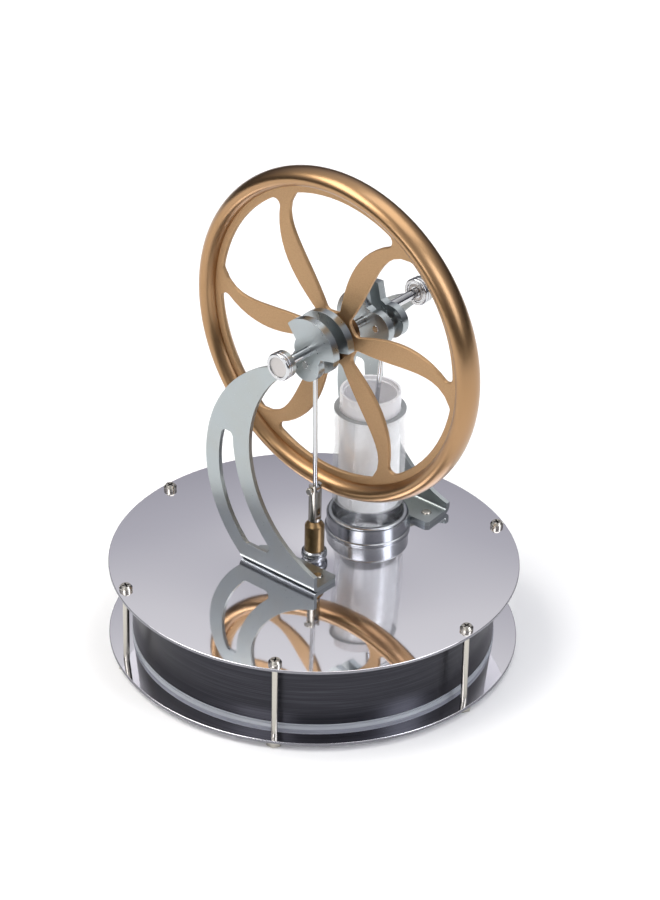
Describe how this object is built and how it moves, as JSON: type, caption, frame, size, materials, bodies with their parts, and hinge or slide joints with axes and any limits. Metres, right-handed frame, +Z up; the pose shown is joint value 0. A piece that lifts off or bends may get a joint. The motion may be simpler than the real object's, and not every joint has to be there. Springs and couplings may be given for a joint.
{
  "type": "stirling engine model",
  "caption": "Desk model of a low temperature Stirling engine: round plates over a flat chamber, glass power cylinder, curved brackets and a spoked bronze flywheel.",
  "frame": {"origin": "centre of the round base at the lower face of the six foot nuts", "axes": "+Z up; the crankshaft lies along Y with the displacer crank towards -Y and the power cylinder towards +Y; the brackets bulge towards -X"},
  "size_m": [0.13, 0.13, 0.1607],
  "materials": {
    "plate_steel": "mirror polished stainless steel",
    "wall_dark": "dark grey semi-gloss anodising",
    "seal_clear": "pale translucent silicone",
    "fastener_steel": "bright plated steel",
    "bracket_steel": "satin nickel plated sheet",
    "bearing_steel": "polished bearing steel",
    "gland_brass": "turned brass",
    "bush_polymer": "off-white low friction polymer",
    "collar_aluminium": "polished turned aluminium",
    "gasket_black": "black rubber",
    "clear_glass": "clear glass with a ground end",
    "wheel_bronze": "satin bronze, fine grained on the web",
    "hub_bronze": "turned bronze",
    "crank_steel": "satin nickel plated plate",
    "rod_steel": "polished steel rod",
    "black_steel": "black oxide steel",
    "piston_white": "milky white low friction polymer",
    "displacer_foam": "fine white rigid foam"
  },
  "bodies": {
    "base_frame": {"bottom_plate": "plate_steel", "lower_seal": "seal_clear", "chamber_wall": "wall_dark", "upper_seal": "seal_clear", "top_plate": "plate_steel", "plate_screws": "fastener_steel", "plate_nuts": "fastener_steel", "front_bracket": "bracket_steel", "rear_bracket": "bracket_steel", "bracket_rivets": "fastener_steel", "front_bearing_housing": "bearing_steel", "rear_bearing_housing": "bearing_steel", "front_bearing_outer_ring": "bearing_steel", "rear_bearing_outer_ring": "bearing_steel", "front_bearing_balls": "bearing_steel", "rear_bearing_balls": "bearing_steel", "front_end_cap": "bearing_steel", "rear_end_cap": "bearing_steel", "gland_ring": "collar_aluminium", "gland_body": "gland_brass", "gland_bush": "bush_polymer", "cylinder_collar": "collar_aluminium", "cylinder_gasket": "gasket_black", "glass_cylinder": "clear_glass"},
    "crankshaft": {"flywheel_rim": "wheel_bronze", "flywheel_web": "wheel_bronze", "flywheel_hub": "hub_bronze", "hub_grub_screw": "black_steel", "main_axle": "rod_steel", "front_axle": "rod_steel", "rear_axle": "rod_steel", "front_crank_outer_plate": "crank_steel", "front_crank_inner_plate": "crank_steel", "rear_crank_inner_plate": "crank_steel", "rear_crank_outer_plate": "crank_steel", "front_crank_pin": "rod_steel", "rear_crank_pin": "rod_steel", "front_bearing_inner_ring": "bearing_steel", "rear_bearing_inner_ring": "bearing_steel"},
    "displacer": {"displacer_disc": "displacer_foam", "displacer_washers": "fastener_steel", "displacer_rod": "rod_steel", "displacer_fork": "fastener_steel", "clevis_pin": "fastener_steel"},
    "displacer_link": {"displacer_con_rod": "rod_steel", "displacer_big_end_bush": "gland_brass"},
    "power_piston": {"piston": "piston_white", "gudgeon_pin": "rod_steel"},
    "piston_link": {"piston_con_rod": "rod_steel", "piston_big_end_bush": "gland_brass"}
  },
  "joints": [
    {"name": "flywheel_spin", "type": "hinge", "parent": "base_frame", "child": "crankshaft", "pos_m": [0, 0, 0.1057], "axis": [0, 1, 0], "continuous": true},
    {"name": "displacer_slide", "type": "slide", "parent": "base_frame", "child": "displacer", "axis": [0, 0, 1], "range_m": [-0.00007, 0.01032]},
    {"name": "displacer_rod_swing", "type": "hinge", "parent": "displacer", "child": "displacer_link", "pos_m": [0, 0, 0.0546], "axis": [0, 1, 0], "range_deg": [-5.3, 7.6]},
    {"name": "piston_slide", "type": "slide", "parent": "base_frame", "child": "power_piston", "axis": [0, 0, 1], "range_m": [-0.00429, 0.0061]},
    {"name": "piston_rod_swing", "type": "hinge", "parent": "power_piston", "child": "piston_link", "pos_m": [0, 0.026, 0.048], "axis": [0, 1, 0], "range_deg": [-10.3, 0.08]}
  ]
}
